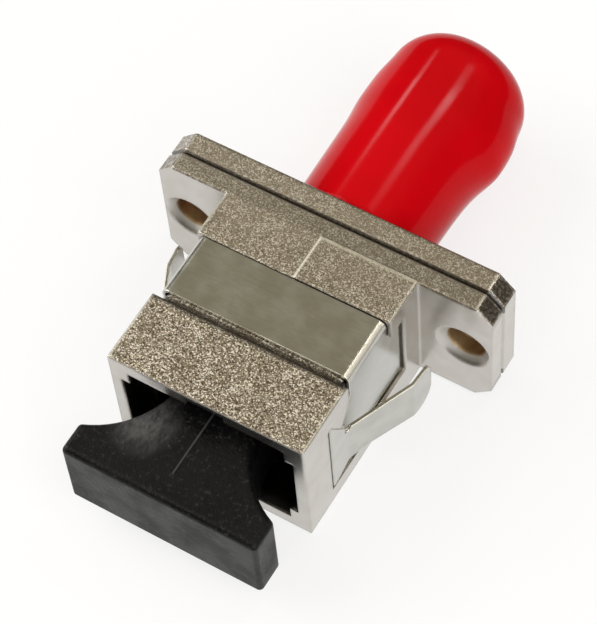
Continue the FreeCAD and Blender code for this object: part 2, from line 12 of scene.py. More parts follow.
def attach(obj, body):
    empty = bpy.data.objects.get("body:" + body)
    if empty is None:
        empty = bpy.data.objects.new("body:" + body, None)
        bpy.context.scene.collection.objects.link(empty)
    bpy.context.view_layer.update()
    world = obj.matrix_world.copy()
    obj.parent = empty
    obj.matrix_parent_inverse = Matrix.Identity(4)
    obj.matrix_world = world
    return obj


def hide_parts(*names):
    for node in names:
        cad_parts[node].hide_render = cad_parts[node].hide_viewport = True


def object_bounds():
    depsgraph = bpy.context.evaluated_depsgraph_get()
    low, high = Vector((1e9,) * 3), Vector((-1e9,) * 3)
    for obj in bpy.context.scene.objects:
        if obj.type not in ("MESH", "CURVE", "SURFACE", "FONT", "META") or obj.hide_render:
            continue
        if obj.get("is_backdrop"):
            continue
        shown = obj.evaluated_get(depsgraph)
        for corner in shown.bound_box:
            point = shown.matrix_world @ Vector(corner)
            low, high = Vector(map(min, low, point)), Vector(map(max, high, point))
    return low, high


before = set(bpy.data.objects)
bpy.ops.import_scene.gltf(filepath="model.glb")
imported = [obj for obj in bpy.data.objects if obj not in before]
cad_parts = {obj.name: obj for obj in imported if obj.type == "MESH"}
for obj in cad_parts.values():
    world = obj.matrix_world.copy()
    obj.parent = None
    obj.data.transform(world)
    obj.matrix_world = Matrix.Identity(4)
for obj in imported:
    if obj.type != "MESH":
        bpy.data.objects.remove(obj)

LOG = logging.getLogger("adapter")
MM = 0.001
WHITE = (1.0, 1.0, 1.0)
UP = (0.0, 0.0, 1.0)

Colour = Tuple[float, float, float]
Place = Tuple[float, float, float]
Range = Tuple[float, float]
Groove = Tuple[float, float, float]
Socket = bpy.types.NodeSocket
Value = Union[float, Sequence[float], Socket]
Inputs = Dict[Union[str, int], Value]
Setting = Union[str, int, bool]

# Most of a cloud of noise lies between these values
CLOUD: Range = (0.3, 0.7)


class Body(Enum):
    """Moving groups that new pieces ride on, as the record names them."""

    CAP = "cap"


class Slot(Enum):
    """Material slots of the record."""

    CAST_METAL = "cast_metal"
    SPRING_STEEL = "spring_steel"
    LATCH_PLASTIC = "latch_plastic"
    HOLDER_METAL = "holder_metal"
    SLEEVE_CERAMIC = "sleeve_ceramic"
    PLUG_PLASTIC = "plug_plastic"
    CAP_VINYL = "cap_vinyl"


class Step(Enum):
    """Sums that the finishes work out from the surface's own coordinates."""

    ADD = "ADD"
    SUBTRACT = "SUBTRACT"
    MULTIPLY = "MULTIPLY"
    ABSOLUTE = "ABSOLUTE"
    ROOT = "SQRT"
    BELOW = "LESS_THAN"
    ABOVE = "GREATER_THAN"
    LARGER = "MAXIMUM"


class NodeSheet:
    """Node tree of one finish, with short calls to add nodes and join them."""

    def __init__(self, tree: bpy.types.NodeTree) -> None:
        """Clears the tree.

        Args:
            tree: the node tree of a material or of the world.
        """
        self.tree = tree
        self.tree.nodes.clear()

    def add(self, kind: str, inputs: Optional[Inputs] = None, **settings: Setting) -> bpy.types.Node:
        """Adds one node.

        Args:
            kind: Blender's name of the node type.
            inputs: values or sockets for the node's inputs, by name or number.
            settings: properties of the node itself.

        Returns:
            The new node.
        """
        node = self.tree.nodes.new(kind)
        for name, value in settings.items():
            setattr(node, name, value)
        for name, value in (inputs or {}).items():
            self.feed(node.inputs[name], value)
        return node

    def feed(self, socket: Socket, value: Value) -> None:
        """Gives an input its value, or joins it to another node's output.

        Args:
            socket: the input.
            value: a number, a colour, a place or an output socket.
        """
        if isinstance(value, Socket):
            self.tree.links.new(value, socket)
        elif socket.type == "RGBA" and len(value) == 3:
            socket.default_value = (*value, 1.0)
        else:
            socket.default_value = value

    def coordinates(self) -> Socket:
        """Returns the surface's place in the part's own frame, in metres."""
        return self.add("ShaderNodeTexCoord").outputs["Object"]

    def axes(self, vector: Value) -> bpy.types.NodeOutputs:
        """Returns the three parts of a place or a direction, by axis."""
        return self.add("ShaderNodeSeparateXYZ", {0: vector}).outputs

    def levelness(self) -> Socket:
        """Returns 1 on faces that look straight up or down and 0 on upright ones."""
        normal = self.add("ShaderNodeTexCoord").outputs["Normal"]
        return self.unsigned(self.axes(normal)["Z"])

    def openness(self, reach: float) -> Socket:
        """Finds the creases of a surface.

        Args:
            reach: how near another surface has to be to count, in metres.

        Returns:
            1 on open surfaces, towards 0 in narrow creases.
        """
        return self.add("ShaderNodeAmbientOcclusion", {"Distance": reach}, samples=8).outputs["AO"]

    def flat_normal(self) -> Socket:
        """Returns the direction of the surface as it is modelled."""
        return self.add("ShaderNodeNewGeometry").outputs["Normal"]

    def edge_mask(self, softened: Value, width: float) -> Socket:
        """Finds the edges of a surface.

        Args:
            softened: the softened surface direction.
            width: how much of the softened edge counts, from 0 to 1.

        Returns:
            0 on flat faces, up to 1 along the edges.
        """
        inputs = {0: softened, 1: self.flat_normal()}
        same = self.add("ShaderNodeVectorMath", inputs, operation="DOT_PRODUCT").outputs["Value"]
        return self.fall(same, (1.0 - width, 1.0))

    def sum(self, step: Step, first: Value, second: Value = 0.0) -> Socket:
        """Adds one sum.

        Args:
            step: what is worked out.
            first: first value.
            second: second value, where the sum takes two.

        Returns:
            The result.
        """
        return self.add("ShaderNodeMath", {0: first, 1: second}, operation=step.value).outputs[0]

    def both(self, first: Value, second: Value) -> Socket:
        """Returns the product of two values, which is where two shares meet."""
        return self.sum(Step.MULTIPLY, first, second)

    def most(self, first: Value, second: Value) -> Socket:
        """Returns the larger of two values."""
        return self.sum(Step.LARGER, first, second)

    def unsigned(self, value: Value) -> Socket:
        """Returns a value without its sign."""
        return self.sum(Step.ABSOLUTE, value)

    def span(self, value: Value, low: float, high: float, out_low: float, out_high: float) -> Socket:
        """Maps a range of values on to another one, softly and without leaving it.

        Args:
            value: the value to map.
            low: start of the incoming range.
            high: end of the incoming range.
            out_low: result at the start.
            out_high: result at the end.

        Returns:
            The mapped value.
        """
        inputs = {0: value, 1: low, 2: high, 3: out_low, 4: out_high}
        return self.add("ShaderNodeMapRange", inputs, interpolation_type="SMOOTHSTEP", clamp=True).outputs[0]

    def rise(self, value: Value, limits: Range) -> Socket:
        """Returns 0 below a range and 1 above it, with a soft step between."""
        return self.span(value, *limits, 0.0, 1.0)

    def fall(self, value: Value, limits: Range) -> Socket:
        """Returns 1 below a range and 0 above it, with a soft step between."""
        return self.span(value, *limits, 1.0, 0.0)

    def even(self, cloud: Value, low: float, high: float) -> Socket:
        """Maps a cloud of noise on to a range."""
        return self.span(cloud, *CLOUD, low, high)

    def blend(self, share: Value, first: Value, second: Value) -> Socket:
        """Mixes two colours.

        Args:
            share: how much of the second colour.
            first: first colour.
            second: second colour.

        Returns:
            The mixed colour.
        """
        return self.add("ShaderNodeMix", {0: share, 6: first, 7: second}, data_type="RGBA").outputs[2]

    def noise(self, place: Value, grain: float, detail: float = 2.0, rough: float = 0.5) -> Socket:
        """Adds an even cloud of noise.

        Args:
            place: where it is read.
            grain: size of its largest grains, in metres.
            detail: how many finer layers it has.
            rough: how strong the finer layers are.

        Returns:
            The noise's value, around 0.5.
        """
        inputs = {"Vector": place, "Scale": 1.0 / grain, "Detail": detail, "Roughness": rough}
        return self.add("ShaderNodeTexNoise", inputs, noise_dimensions="3D").outputs["Fac"]

    def cells(self, place: Value, grain: float) -> bpy.types.Node:
        """Adds a pattern of irregular cells.

        Args:
            place: where it is read.
            grain: size of a cell, in metres.

        Returns:
            The node, whose outputs are the distance to the cell's middle and a colour for each cell.
        """
        inputs = {"Vector": place, "Scale": 1.0 / grain, "Randomness": 1.0}
        return self.add("ShaderNodeTexVoronoi", inputs, voronoi_dimensions="3D", feature="F1")

    def stretched(self, place: Value, scale: Place) -> Socket:
        """Stretches a pattern along the axes.

        Args:
            place: where the pattern is read.
            scale: how much finer the pattern gets along each axis.

        Returns:
            The stretched place.
        """
        return self.add("ShaderNodeMapping", {"Vector": place, "Scale": scale}).outputs[0]

    def edge_normal(self, radius: float) -> Socket:
        """Softens sharp edges.

        Args:
            radius: how far the rounding reaches, in metres.

        Returns:
            The softened surface direction.
        """
        return self.add("ShaderNodeBevel", {"Radius": radius}, samples=6).outputs[0]

    def bump(self, height: Value, depth: float, normal: Optional[Value] = None) -> Socket:
        """Raises a surface by a pattern.

        Args:
            height: the pattern, from 0 to 1.
            depth: height of the relief, in metres.
            normal: surface direction to start from.

        Returns:
            The surface direction with the relief.
        """
        inputs: Inputs = {"Height": height, "Distance": depth, "Strength": 1.0}
        if normal is not None:
            inputs["Normal"] = normal
        return self.add("ShaderNodeBump", inputs).outputs[0]

    def surface(self, inputs: Inputs) -> None:
        """Closes the sheet with the shader that gives the finish.

        Args:
            inputs: the shader's inputs.
        """
        shader = self.add("ShaderNodeBsdfPrincipled", inputs)
        output = self.add("ShaderNodeOutputMaterial")
        self.tree.links.new(shader.outputs[0], output.inputs["Surface"])


class Finish:
    """A surface finish that makes one Blender material."""

    title: str = "finish"

    def draw(self, sheet: NodeSheet) -> None:
        """Draws the finish on a node sheet."""
        raise NotImplementedError

    def material(self) -> bpy.types.Material:
        """Makes the material.

        Returns:
            The new material.
        """
        made = bpy.data.materials.new(self.title)
        made.use_nodes = True
        self.draw(NodeSheet(made.node_tree))
        return made


@dataclass(frozen=True)
class CastNickel(Finish):
    """Nickel plate over a casting: blasted tops with painted glints, smooth upright faces, bare edges with a
    painted highlight, painted shade in creases, brown holes.
    """

    title: str = "cast_nickel"
    smooth: Colour = (0.585, 0.56, 0.525)
    cloudy: Colour = (0.54, 0.512, 0.47)
    pit: Colour = (0.08, 0.06, 0.038)
    grit: Colour = (0.37, 0.315, 0.23)
    # Bright grains painted as highlights: the glints of the blasted tops
    glint: Colour = (1.0, 0.96, 0.87)
    calm: Colour = (0.38, 0.343, 0.28)
    # Worn edge colour, lightened further as a painted highlight
    bare_and_highlight: Colour = (0.86, 0.82, 0.71)
    blotch: Colour = (0.26, 0.215, 0.155)
    # Dark colour for painted shade in creases, recesses and the slot, and for grime in the joint
    shade_and_grime: Colour = (0.03, 0.025, 0.018)
    # Brown of the screw hole walls
    hole_brown: Colour = (0.32, 0.2, 0.105)
    # Golden colour painted in patches on the hole walls as a highlight
    brass: Colour = (0.5, 0.37, 0.2)
    smooth_roughness: float = 0.26
    blasted_roughness: float = 0.38
    worn_roughness: float = 0.46
    sunk_roughness: float = 0.62
    least_roughness: float = 0.2
    # Grain of the tops
    grain: float = 0.065 * MM
    grain_depth: float = 0.016 * MM
    fine_size: float = 1.4 * grain
    blotch_size: float = 3 * grain
    stain_size: float = 24 * grain
    top_level: Range = (0.8, 0.97)
    slope_level: Range = (0.5, 0.68)
    blasted_low: float = 4.0 * MM
    pit_cloud: Range = (0.36, 0.62)
    glint_facet: Range = (0.55, 0.97)
    patch_share: float = 0.07
    calm_place: Range = (-7.0 * MM, 0.5 * MM)
    calm_share: float = 0.5
    blotch_cloud: Range = (0.42, 0.66)
    # Bare edges with a painted highlight on them, with a dark line beside them
    edge: float = 0.3 * MM
    edge_share: float = 0.06
    edge_facing: Range = (0.05, 0.2)
    line_start: Range = (0.01, 0.2)
    line_end: Range = (0.25, 0.6)
    line_share: float = 0.8
    # Painted highlight along the inner edges of the raised half
    raised_height: float = 4.65 * MM
    raised_front: float = -3.1 * MM
    crest_highlight: Range = (0.075 * MM, 0.15 * MM)
    rear_crest: Range = (0.075 * MM, 0.21 * MM)
    rear_crest_share: float = 0.8
    crest_cloud: Range = (0.3, 0.6)
    crest_least: float = 0.45
    # Painted shade in creases, recesses and the slot, and grime in the joint; a groove has its middle and
    # half width in millimetres, and how dark it is
    crease: float = 0.3 * MM
    open_crease: Range = (0.8, 0.97)
    # Painted shade in narrow creases
    shaded_crease: Range = (0.12, 0.45)
    # Painted shade deep in recesses inside the port
    recess: float = 3.0 * MM
    deep_recess: Range = (0.45, 0.9)
    grooves: Tuple[Groove, ...] = (
        # The joint, the dull rim of the front plate, then painted shade on the front block's rear edge and in
        # the slot
        (1.35, 0.21, 0.7),
        (0.68, 0.72, 0.22),
        (-7.53, 0.23, 0.78),
        (-7.7, 0.45, 0.3),
    )
    groove_core: float = 0.6
    # Painted shade on the floor of the slot before the clip
    slot_middle: float = -7.39 * MM
    slot_half: float = 0.25 * MM
    slot_low: float = 2.9 * MM
    slot_level: Range = (0.9, 1.0)
    slot_floor_share: float = 0.25
    corner_low: float = 3.05 * MM
    # Places on the castings
    joint: float = 1.35 * MM
    flange_back: float = 2.86 * MM
    hole_spacing: float = 18.3 * MM
    hole_radius: float = 1.18 * MM
    rubbed_radius: float = 1.3 * MM
    sink_radius: float = 1.78 * MM
    golden_highlight_cloud: Range = (0.4, 0.75)
    port_half_width: float = 5.6 * MM
    port_half_height: float = 4.3 * MM
    port_shade: Range = (-12.2 * MM, -11.6 * MM)

    def from_hole(self, sheet: NodeSheet, place: Value) -> Socket:
        """Measures how far the surface is from the middle of the nearer screw hole.

        Args:
            sheet: the node sheet.
            place: the surface's place.

        Returns:
            The distance from the hole's axis, in metres.
        """
        axes = sheet.axes(place)
        across = sheet.sum(Step.SUBTRACT, sheet.unsigned(axes["X"]), self.hole_spacing / 2)
        squares = sheet.sum(Step.ADD, sheet.both(across, across), sheet.both(axes["Z"], axes["Z"]))
        return sheet.sum(Step.ROOT, squares)

    def in_port(self, sheet: NodeSheet, place: Value) -> Socket:
        """Finds the walls inside the port.

        Args:
            sheet: the node sheet.
            place: the surface's place.

        Returns:
            1 well inside, falling to 0 at the mouth and outside.
        """
        axes = sheet.axes(place)
        beside = sheet.sum(Step.BELOW, sheet.unsigned(axes["X"]), self.port_half_width)
        below = sheet.sum(Step.BELOW, sheet.unsigned(axes["Z"]), self.port_half_height)
        return sheet.both(sheet.both(beside, below), sheet.rise(axes["Y"], self.port_shade))

    def grime_and_shade(self, sheet: NodeSheet, place: Value, slope: Value) -> Socket:
        """Finds the dark joint of the plates, the dull rim of the front one, and the painted shade on the
        rounded rear edge of the front block and in the slot before the clip.

        Args:
            sheet: the node sheet.
            place: the surface's place.
            slope: 1 on faces that look up or down, 0 on upright ones.

        Returns:
            How dark the grime and the painted shade are, from 0 to 1.
        """
        axes = sheet.axes(place)
        dark: Value = 0.0
        for middle, half, share in self.grooves:
            off = sheet.unsigned(sheet.sum(Step.SUBTRACT, axes["Y"], middle * MM))
            dark = sheet.most(sheet.span(off, self.groove_core * half * MM, half * MM, share, 0.0), dark)
        off = sheet.unsigned(sheet.sum(Step.SUBTRACT, axes["Y"], self.slot_middle))
        slot = sheet.sum(Step.BELOW, off, self.slot_half)
        slot = sheet.both(slot, sheet.sum(Step.ABOVE, axes["Z"], self.slot_low))
        slot = sheet.both(slot, sheet.span(slope, *self.slot_level, 1.0, self.slot_floor_share))
        corner = sheet.sum(Step.ABOVE, sheet.unsigned(axes["Z"]), self.corner_low)
        corner = sheet.both(corner, sheet.sum(Step.ABOVE, axes["Y"]))
        return sheet.most(sheet.both(dark, sheet.most(slope, corner)), slot)

    def worn_and_highlit(self, sheet: NodeSheet, place: Value, softened: Value) -> Socket:
        """Finds the edges that are rubbed bare and carry a painted highlight: those along the part, and the
        rear one of the raised half.

        Args:
            sheet: the node sheet.
            place: the surface's place.
            softened: the softened surface direction.

        Returns:
            0 on flat faces, up to 1 along those edges.
        """
        lie = sheet.axes(softened)
        ahead = sheet.sum(Step.BELOW, sheet.axes(place)["Y"], self.joint)
        facing = sheet.most(sheet.unsigned(lie["X"]), sheet.both(lie["Y"], ahead))
        return sheet.both(sheet.edge_mask(softened, self.edge_share), sheet.rise(facing, self.edge_facing))

    def crest_highlights(self, sheet: NodeSheet, place: Value) -> Socket:
        """Finds the painted highlight along the inner edges of the raised half before the flange.

        Args:
            sheet: the node sheet.
            place: the surface's place.

        Returns:
            1 on the line and 0 elsewhere.
        """
        axes = sheet.axes(place)
        high = sheet.sum(Step.ABOVE, axes["Z"], self.raised_height)
        raised = sheet.both(high, sheet.sum(Step.ABOVE, axes["Y"], self.raised_front))
        beside = sheet.fall(sheet.unsigned(axes["X"]), self.crest_highlight)
        behind = sheet.span(sheet.unsigned(axes["Y"]), *self.rear_crest, self.rear_crest_share, 0.0)
        return sheet.both(raised, sheet.most(beside, behind))

    def blasted(self, sheet: NodeSheet, place: Value, cloud: Value) -> Socket:
        """Colours the blasted tops.

        Args:
            sheet: the node sheet.
            place: the surface's place.
            cloud: the fine cloud of the grain.

        Returns:
            Dark pits and warm grit with bright glints painted in as highlights, more of them in some patches,
            and calmer at the rear.
        """
        cells = sheet.cells(place, self.grain).outputs["Color"]
        facets = sheet.add("ShaderNodeSeparateColor", {0: cells}).outputs
        patches = sheet.noise(place, self.stain_size)
        lively = sheet.sum(Step.ADD, facets[0], sheet.even(patches, -self.patch_share, self.patch_share))
        lower = sheet.blend(sheet.rise(cloud, self.pit_cloud), self.pit, self.grit)
        grainy = sheet.blend(sheet.rise(lively, self.glint_facet), lower, self.glint)
        rear = sheet.span(sheet.axes(place)["Y"], *self.calm_place, 0.0, self.calm_share)
        return sheet.blend(rear, grainy, self.calm)

    def upright(self, sheet: NodeSheet, place: Value, slope: Value, stains: Value) -> Socket:
        """Colours the upright faces and the slanted corners of the flange.

        Args:
            sheet: the node sheet.
            place: the surface's place.
            slope: 1 on faces that look up or down, 0 on upright ones.
            stains: the broad cloud of the stains.

        Returns:
            Smooth plate with faint stains, and mottled plate on the corners.
        """
        side = sheet.blend(sheet.even(stains, 0.0, 1.0), self.cloudy, self.smooth)
        blotches = sheet.noise(place, self.blotch_size, detail=3.0, rough=0.6)
        mottled = sheet.blend(sheet.rise(blotches, self.blotch_cloud), self.blotch, self.smooth)
        along = sheet.axes(place)["Y"]
        flange = sheet.both(sheet.sum(Step.ABOVE, along), sheet.sum(Step.BELOW, along, self.flange_back))
        return sheet.blend(sheet.both(slope, flange), side, mottled)

    def draw(self, sheet: NodeSheet) -> None:
        """Draws the blasted tops with painted glints, smooth sides, bare edges with a painted highlight,
        painted shade in creases, the slot and the port, grime in the joint, and brown holes with painted
        golden highlights.
        """
        place = sheet.coordinates()
        level = sheet.levelness()
        away = self.from_hole(sheet, place)
        outer = sheet.sum(Step.ABOVE, sheet.unsigned(sheet.axes(place)["Z"]), self.blasted_low)
        top = sheet.both(sheet.rise(level, self.top_level), outer)
        slope = sheet.both(sheet.rise(level, self.slope_level), sheet.sum(Step.ABOVE, away, self.sink_radius))
        cloud = sheet.noise(place, self.fine_size, detail=2.0, rough=0.55)
        stains = sheet.noise(place, self.stain_size, detail=3.0, rough=0.55)
        softened = sheet.edge_normal(self.edge)
        crease = sheet.openness(self.crease)
        edges = sheet.both(self.worn_and_highlit(sheet, place, softened), sheet.rise(crease, self.open_crease))
        edges = sheet.both(edges, top)
        beside = sheet.both(
            sheet.span(edges, *self.line_start, 0.0, self.line_share), sheet.fall(edges, self.line_end)
        )
        # Painted highlight on the crest lines, broken by the grain
        crest_highlight = sheet.span(cloud, *self.crest_cloud, self.crest_least, 1.0)
        crest_highlight = sheet.both(self.crest_highlights(sheet, place), crest_highlight)
        wear_and_highlight = sheet.most(edges, crest_highlight)
        unworn = sheet.sum(Step.SUBTRACT, top, wear_and_highlight)
        sides = self.upright(sheet, place, slope, stains)
        colour = sheet.blend(top, sides, self.blasted(sheet, place, cloud))
        # Worn edges and crest lines with their painted highlight, and the dark line beside them
        colour = sheet.blend(wear_and_highlight, sheet.blend(beside, colour, self.pit), self.bare_and_highlight)
        # Painted shade deep inside the port
        deep = sheet.fall(sheet.openness(self.recess), self.deep_recess)
        hidden = sheet.both(deep, self.in_port(sheet, place))
        # Painted shade in creases, joined with the joint grime and the painted shade of the slot
        shade_and_grime_share = sheet.most(sheet.fall(crease, self.shaded_crease), self.grime_and_shade(sheet, place, slope))
        colour = sheet.blend(sheet.most(shade_and_grime_share, hidden), colour, self.shade_and_grime)
        # Walls of the screw holes and a ring round them, which take the brown and the painted golden
        # highlight
        rubbed_and_highlit = sheet.fall(away, (self.hole_radius, self.rubbed_radius))
        # Brown hole walls with patches of painted golden highlight
        wall = sheet.blend(sheet.rise(stains, self.golden_highlight_cloud), self.hole_brown, self.brass)
        rough = sheet.most(
            sheet.span(unworn, 0.0, 1.0, self.smooth_roughness, self.blasted_roughness),
            sheet.both(wear_and_highlight, self.worn_roughness),
        )
        sunk = sheet.span(
            away, self.hole_radius, self.sink_radius, self.sunk_roughness, self.least_roughness
        )
        direction = sheet.blend(crest_highlight, softened, sheet.flat_normal())
        sheet.surface(
            {
                "Base Color": sheet.blend(rubbed_and_highlit, colour, wall),
                "Metallic": 1.0,
                "Roughness": sheet.most(rough, sunk),
                "Normal": sheet.bump(sheet.both(cloud, unworn), self.grain_depth, direction),
            }
        )


@dataclass(frozen=True)
class SpringSheet(Finish):
    """Satin spring sheet with faint clouding, bare along its cut edges and bends with a painted highlight on
    them, and painted shade in creases.
    """

    title: str = "spring_sheet"
    light: Colour = (0.57, 0.566, 0.53)
    dull: Colour = (0.49, 0.485, 0.445)
    tarnish: Colour = (0.312, 0.313, 0.268)
    # Bare metal of the edges and bends, lightened as a painted highlight
    bare_and_highlight: Colour = (0.92, 0.88, 0.78)
    # Dark colour for painted shade in creases and in the gap along the root's front edge
    shade_and_grime: Colour = (0.05, 0.045, 0.035)
    roughness: Range = (0.2, 0.27)
    bend_roughness: float = 0.42
    cloud: float = 1.5 * MM
    line: float = 0.12 * MM
    line_depth: float = 0.0008 * MM
    line_stretch: Place = (0.2, 1.0, 1.0)
    line_share: float = 0.07
    top_level: Range = (0.85, 0.97)
    tarnish_share: Range = (0.83, 0.69)
    # Where the painted shade along the root's front edge ends
    root_unshaded: Range = (-9.79 * MM, -9.75 * MM)
    edge: float = 0.1 * MM
    edge_share: float = 0.2
    bend_start: Range = (0.5, 0.7)
    bend_end: Range = (0.94, 0.99)
    # Weaker painted highlight on the left-hand bend, which gets less light
    left_highlight_share: float = 0.2
    bend_middle: Range = (-1.0 * MM, 1.0 * MM)
    crease: float = 0.25 * MM
    open_crease: Range = (0.12, 0.5)

    def bends(self, sheet: NodeSheet, place: Value, softened: Value) -> Socket:
        """Finds the bends where the band turns down the sides, where a highlight is painted, the left-hand
        one weaker because less light falls on it.

        Args:
            sheet: the node sheet.
            place: the surface's place.
            softened: the softened surface direction.

        Returns:
            Up to 1 on the bends and 0 elsewhere.
        """
        lie = sheet.unsigned(sheet.axes(softened)["Z"])
        bend_highlight = sheet.both(sheet.rise(lie, self.bend_start), sheet.fall(lie, self.bend_end))
        share = sheet.span(sheet.axes(place)["X"], *self.bend_middle, self.left_highlight_share, 1.0)
        return sheet.both(bend_highlight, share)

    def draw(self, sheet: NodeSheet) -> None:
        """Draws the clouded satin, its rolled lines, its bare edges with a painted highlight, painted
        highlights on the bends and painted shade in creases and along the root's front edge.
        """
        place = sheet.coordinates()
        lines = sheet.noise(sheet.stretched(place, self.line_stretch), self.line, detail=3.0, rough=0.65)
        clouds = sheet.noise(place, self.cloud, detail=3.0, rough=0.55)
        softened = sheet.edge_normal(self.edge)
        open_share = sheet.rise(sheet.openness(self.crease), self.open_crease)
        wear_and_highlight = sheet.both(sheet.edge_mask(softened, self.edge_share), open_share)
        bend_highlight = self.bends(sheet, place, softened)
        dulled = sheet.sum(
            Step.ADD,
            sheet.even(clouds, *self.tarnish_share),
            sheet.even(lines, self.line_share, -self.line_share),
        )
        top = sheet.rise(sheet.levelness(), self.top_level)
        colour = sheet.blend(sheet.even(clouds, 0.0, 1.0), self.dull, self.light)
        colour = sheet.blend(sheet.both(top, dulled), colour, self.tarnish)
        # Painted highlight on the bends and the bare edges
        colour = sheet.blend(sheet.most(wear_and_highlight, bend_highlight), colour, self.bare_and_highlight)
        # Painted shade in creases and in the gap along the front edge of the root
        unshaded = sheet.rise(sheet.axes(place)["Y"], self.root_unshaded)
        rough = sheet.even(clouds, *self.roughness)
        sheet.surface(
            {
                "Base Color": sheet.blend(sheet.both(open_share, unshaded), self.shade_and_grime, colour),
                "Metallic": 1.0,
                "Roughness": sheet.most(rough, sheet.both(bend_highlight, self.bend_roughness)),
                "Normal": sheet.bump(lines, self.line_depth, softened),
            }
        )


@dataclass(frozen=True)
class MouldedBlack(Finish):
    """Black moulded plastic with a fine spark-eroded grain, pale specks, a rubbed moulding seam, rubbed edges
    with a painted highlight and a patch of painted sheen.
    """

    title: str = "moulded_black"
    dark: Colour = (0.0016, 0.0016, 0.0018)
    speck: Colour = (0.03, 0.03, 0.03)
    # Rubbed seam and edges, the edges lightened as a painted highlight
    rubbed_and_highlit: Colour = (0.04, 0.04, 0.04)
    # Pale colour of the painted sheen patch
    sheen_patch: Colour = (0.09, 0.09, 0.09)
    gloss: float = 0.19
    roughness: Range = (0.28, 0.42)
    speck_roughness: float = 0.12
    grain: float = 0.15 * MM
    grain_depth: float = 0.03 * MM
    speck_size: float = 1.6 * grain
    sheen_streak_size: float = 3 * grain
    sheen_size: float = 16 * grain
    speck_cloud: Range = (0.56, 0.72)
    sheen_cloud: Range = (0.35, 0.65)
    edge: float = 0.06 * MM
    edge_share: float = 0.3
    edge_cloud: Range = (0.35, 0.65)
    edge_most: float = 0.8
    seam_half: float = 0.05 * MM
    seam_low: float = 2.51 * MM
    # Patch of painted sheen on the left of the top: the move that brings its middle to the origin, and its
    # scale on each axis
    sheen_patch_shift: Place = (3.0 * MM, 14.0 * MM, -2.5 * MM)
    sheen_patch_scale: Place = (0.42 / MM, 0.38 / MM, 2.0 / MM)
    sheen_patch_fade: Range = (0.1, 1.0)
    # Streaks in the painted sheen
    sheen_streak_stretch: Place = (1.0, 0.4, 1.0)
    sheen_streak_least: float = 0.25

    def seam(self, sheet: NodeSheet, place: Value) -> Socket:
        """Finds the moulding seam along the top.

        Args:
            sheet: the node sheet.
            place: the surface's place.

        Returns:
            1 on the seam and 0 elsewhere.
        """
        axes = sheet.axes(place)
        near = sheet.sum(Step.BELOW, sheet.unsigned(axes["X"]), self.seam_half)
        return sheet.both(near, sheet.sum(Step.ABOVE, axes["Z"], self.seam_low))

    def sheen_patch_mask(self, sheet: NodeSheet, place: Value) -> Socket:
        """Finds the patch of painted sheen on the left of the top.

        Args:
            sheet: the node sheet.
            place: the surface's place.

        Returns:
            1 in its middle, falling to 0 round it.
        """
        inputs = {0: place, 1: self.sheen_patch_shift}
        centred = sheet.add("ShaderNodeVectorMath", inputs, operation="ADD").outputs[0]
        scaled = sheet.stretched(centred, self.sheen_patch_scale)
        away = sheet.add("ShaderNodeVectorMath", {0: scaled}, operation="LENGTH").outputs["Value"]
        return sheet.fall(away, self.sheen_patch_fade)

    def draw(self, sheet: NodeSheet) -> None:
        """Draws the fine grain, its pale specks, the patch of painted sheen, and the rubbed edges with a
        painted highlight and the rubbed seam.
        """
        place = sheet.coordinates()
        grain = sheet.noise(place, self.grain, detail=2.0, rough=0.6)
        specks = sheet.noise(place, self.speck_size, detail=4.0, rough=0.7)
        sheen = sheet.noise(place, self.sheen_size, detail=3.0, rough=0.6)
        drawn = sheet.stretched(place, self.sheen_streak_stretch)
        sheen_streaks = sheet.noise(drawn, self.sheen_streak_size, detail=4.0, rough=0.7)
        softened = sheet.edge_normal(self.edge)
        # Rubbed edges with a painted highlight, broken by the specks
        edges = sheet.both(
            sheet.edge_mask(softened, self.edge_share),
            sheet.span(specks, *self.edge_cloud, 0.0, self.edge_most),
        )
        # Painted sheen on the left of the top, with streaks
        sheen_patch = sheet.both(self.sheen_patch_mask(sheet, place), sheet.even(sheen_streaks, self.sheen_streak_least, 1.0))
        colour = sheet.blend(sheet.rise(specks, self.speck_cloud), self.dark, self.speck)
        colour = sheet.blend(sheen_patch, colour, self.sheen_patch)
        rough = sheet.span(sheen, *self.sheen_cloud, *self.roughness)
        sheet.surface(
            {
                "Base Color": sheet.blend(sheet.most(edges, self.seam(sheet, place)), colour, self.rubbed_and_highlit),
                "Roughness": sheet.sum(Step.ADD, rough, sheet.even(specks, 0.0, self.speck_roughness)),
                "Specular IOR Level": self.gloss,
                "Normal": sheet.bump(grain, self.grain_depth, softened),
            }
        )


@dataclass(frozen=True)
class DippedVinyl(Finish):
    """Glossy red dipped vinyl with the soft waves of a dipped skin."""

    title: str = "dipped_vinyl"
    deep: Colour = (0.465, 0.0008, 0.0036)
    bright: Colour = (0.53, 0.0009, 0.0045)
    gloss: float = 0.08
    roughness: Range = (0.11, 0.15)
    wave: float = 3.2 * MM
    wave_depth: float = 0.001 * MM
    wave_stretch: Place = (1.0, 0.35, 1.0)
    cloud: float = 1.6 * wave
    depth_cloud: Range = (0.35, 0.65)

    def draw(self, sheet: NodeSheet) -> None:
        """Draws the waves of the skin and its slight changes of depth."""
        place = sheet.coordinates()
        waves = sheet.noise(sheet.stretched(place, self.wave_stretch), self.wave, detail=1.0, rough=0.4)
        clouds = sheet.noise(place, self.cloud)
        sheet.surface(
            {
                "Base Color": sheet.blend(sheet.rise(clouds, self.depth_cloud), self.deep, self.bright),
                "Roughness": sheet.even(clouds, *self.roughness),
                "Specular IOR Level": self.gloss,
                "Normal": sheet.bump(waves, self.wave_depth),
            }
        )


